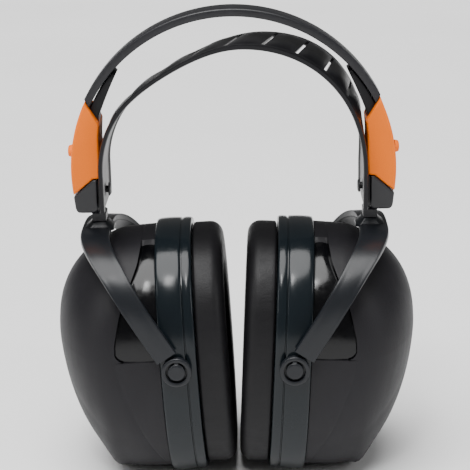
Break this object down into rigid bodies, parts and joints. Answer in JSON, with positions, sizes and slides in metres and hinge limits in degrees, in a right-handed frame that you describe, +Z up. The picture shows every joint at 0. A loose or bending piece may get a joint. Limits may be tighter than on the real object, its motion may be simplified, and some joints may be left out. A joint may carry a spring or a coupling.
{
  "type": "earmuff hearing protector",
  "caption": "Over-head earmuffs: domed ear cups with ring cushions on pivoting yokes, slide-adjusted below a slim outer band, with a slotted comfort strap under the band.",
  "frame": {"origin": "centre of the outline on the surface that the two cup rims stand on", "axes": "+Z up from the rims to the crown of the band, front towards -Y, the wearer's right-hand cup towards +X in this row's naming"},
  "size_m": [0.157, 0.0974, 0.2063],
  "materials": {
    "band_black": "satin, fine grain",
    "strap_black": "smooth satin, softly glossy on the convex panels",
    "cover_orange": "satin",
    "housing_black": "satin",
    "yoke_grey": "glossy",
    "shell_charcoal": "matt, fine grain",
    "rim_slate": "semi-gloss",
    "cushion_black": "soft leather-like vinyl",
    "plate_black": "matt",
    "foam_grey": "open-cell foam",
    "spring_steel": "bright"
  },
  "bodies": {
    "headband": {"headband": "band_black", "comfort_strap": "strap_black"},
    "side_left": {"slider_cover_left": "cover_orange", "end_housing_left": "housing_black", "stem_guide_left": "band_black", "detent_spring_left": "spring_steel", "strap_stud_left": "housing_black"},
    "stem_left": {"slide_stem_left": "housing_black", "yoke_left": "yoke_grey"},
    "cup_left": {"cup_shell_left": "shell_charcoal", "cup_rim_left": "rim_slate", "cushion_plate_left": "plate_black", "ear_cushion_left": "cushion_black", "foam_liner_left": "foam_grey", "pivot_pin_front_left": "yoke_grey", "pivot_pin_rear_left": "yoke_grey"},
    "side_right": {"slider_cover_right": "cover_orange", "end_housing_right": "housing_black", "stem_guide_right": "band_black", "detent_spring_right": "spring_steel", "strap_stud_right": "housing_black"},
    "stem_right": {"slide_stem_right": "housing_black", "yoke_right": "yoke_grey"},
    "cup_right": {"cup_shell_right": "shell_charcoal", "cup_rim_right": "rim_slate", "cushion_plate_right": "plate_black", "ear_cushion_right": "cushion_black", "foam_liner_right": "foam_grey", "pivot_pin_front_right": "yoke_grey", "pivot_pin_rear_right": "yoke_grey"}
  },
  "joints": [
    {"name": "band_flex_left", "type": "hinge", "parent": "headband", "child": "side_left", "pos_m": [-0.045, 0, 0.18], "axis": [0, 1, 0], "range_deg": [0, 30], "stiffness_Nm_per_rad": 2.6, "springref_deg": -7.45, "deforming": ["headband", "comfort_strap"]},
    {"name": "stem_slide_left", "type": "slide", "parent": "side_left", "child": "stem_left", "axis": [0, 0, -1], "range_m": [0, 0.02]},
    {"name": "cup_pivot_left", "type": "hinge", "parent": "stem_left", "child": "cup_left", "pos_m": [-0.02481, 0, 0.0597], "axis": [0, 1, 0], "range_deg": [0, 4.5]},
    {"name": "band_flex_right", "type": "hinge", "parent": "headband", "child": "side_right", "pos_m": [0.045, 0, 0.18], "axis": [0, -1, 0], "range_deg": [0, 30], "stiffness_Nm_per_rad": 2.6, "springref_deg": -7.45, "deforming": ["headband", "comfort_strap"]},
    {"name": "stem_slide_right", "type": "slide", "parent": "side_right", "child": "stem_right", "axis": [0, 0, -1], "range_m": [0, 0.02]},
    {"name": "cup_pivot_right", "type": "hinge", "parent": "stem_right", "child": "cup_right", "pos_m": [0.02481, 0, 0.0597], "axis": [0, -1, 0], "range_deg": [0, 4.5]}
  ]
}
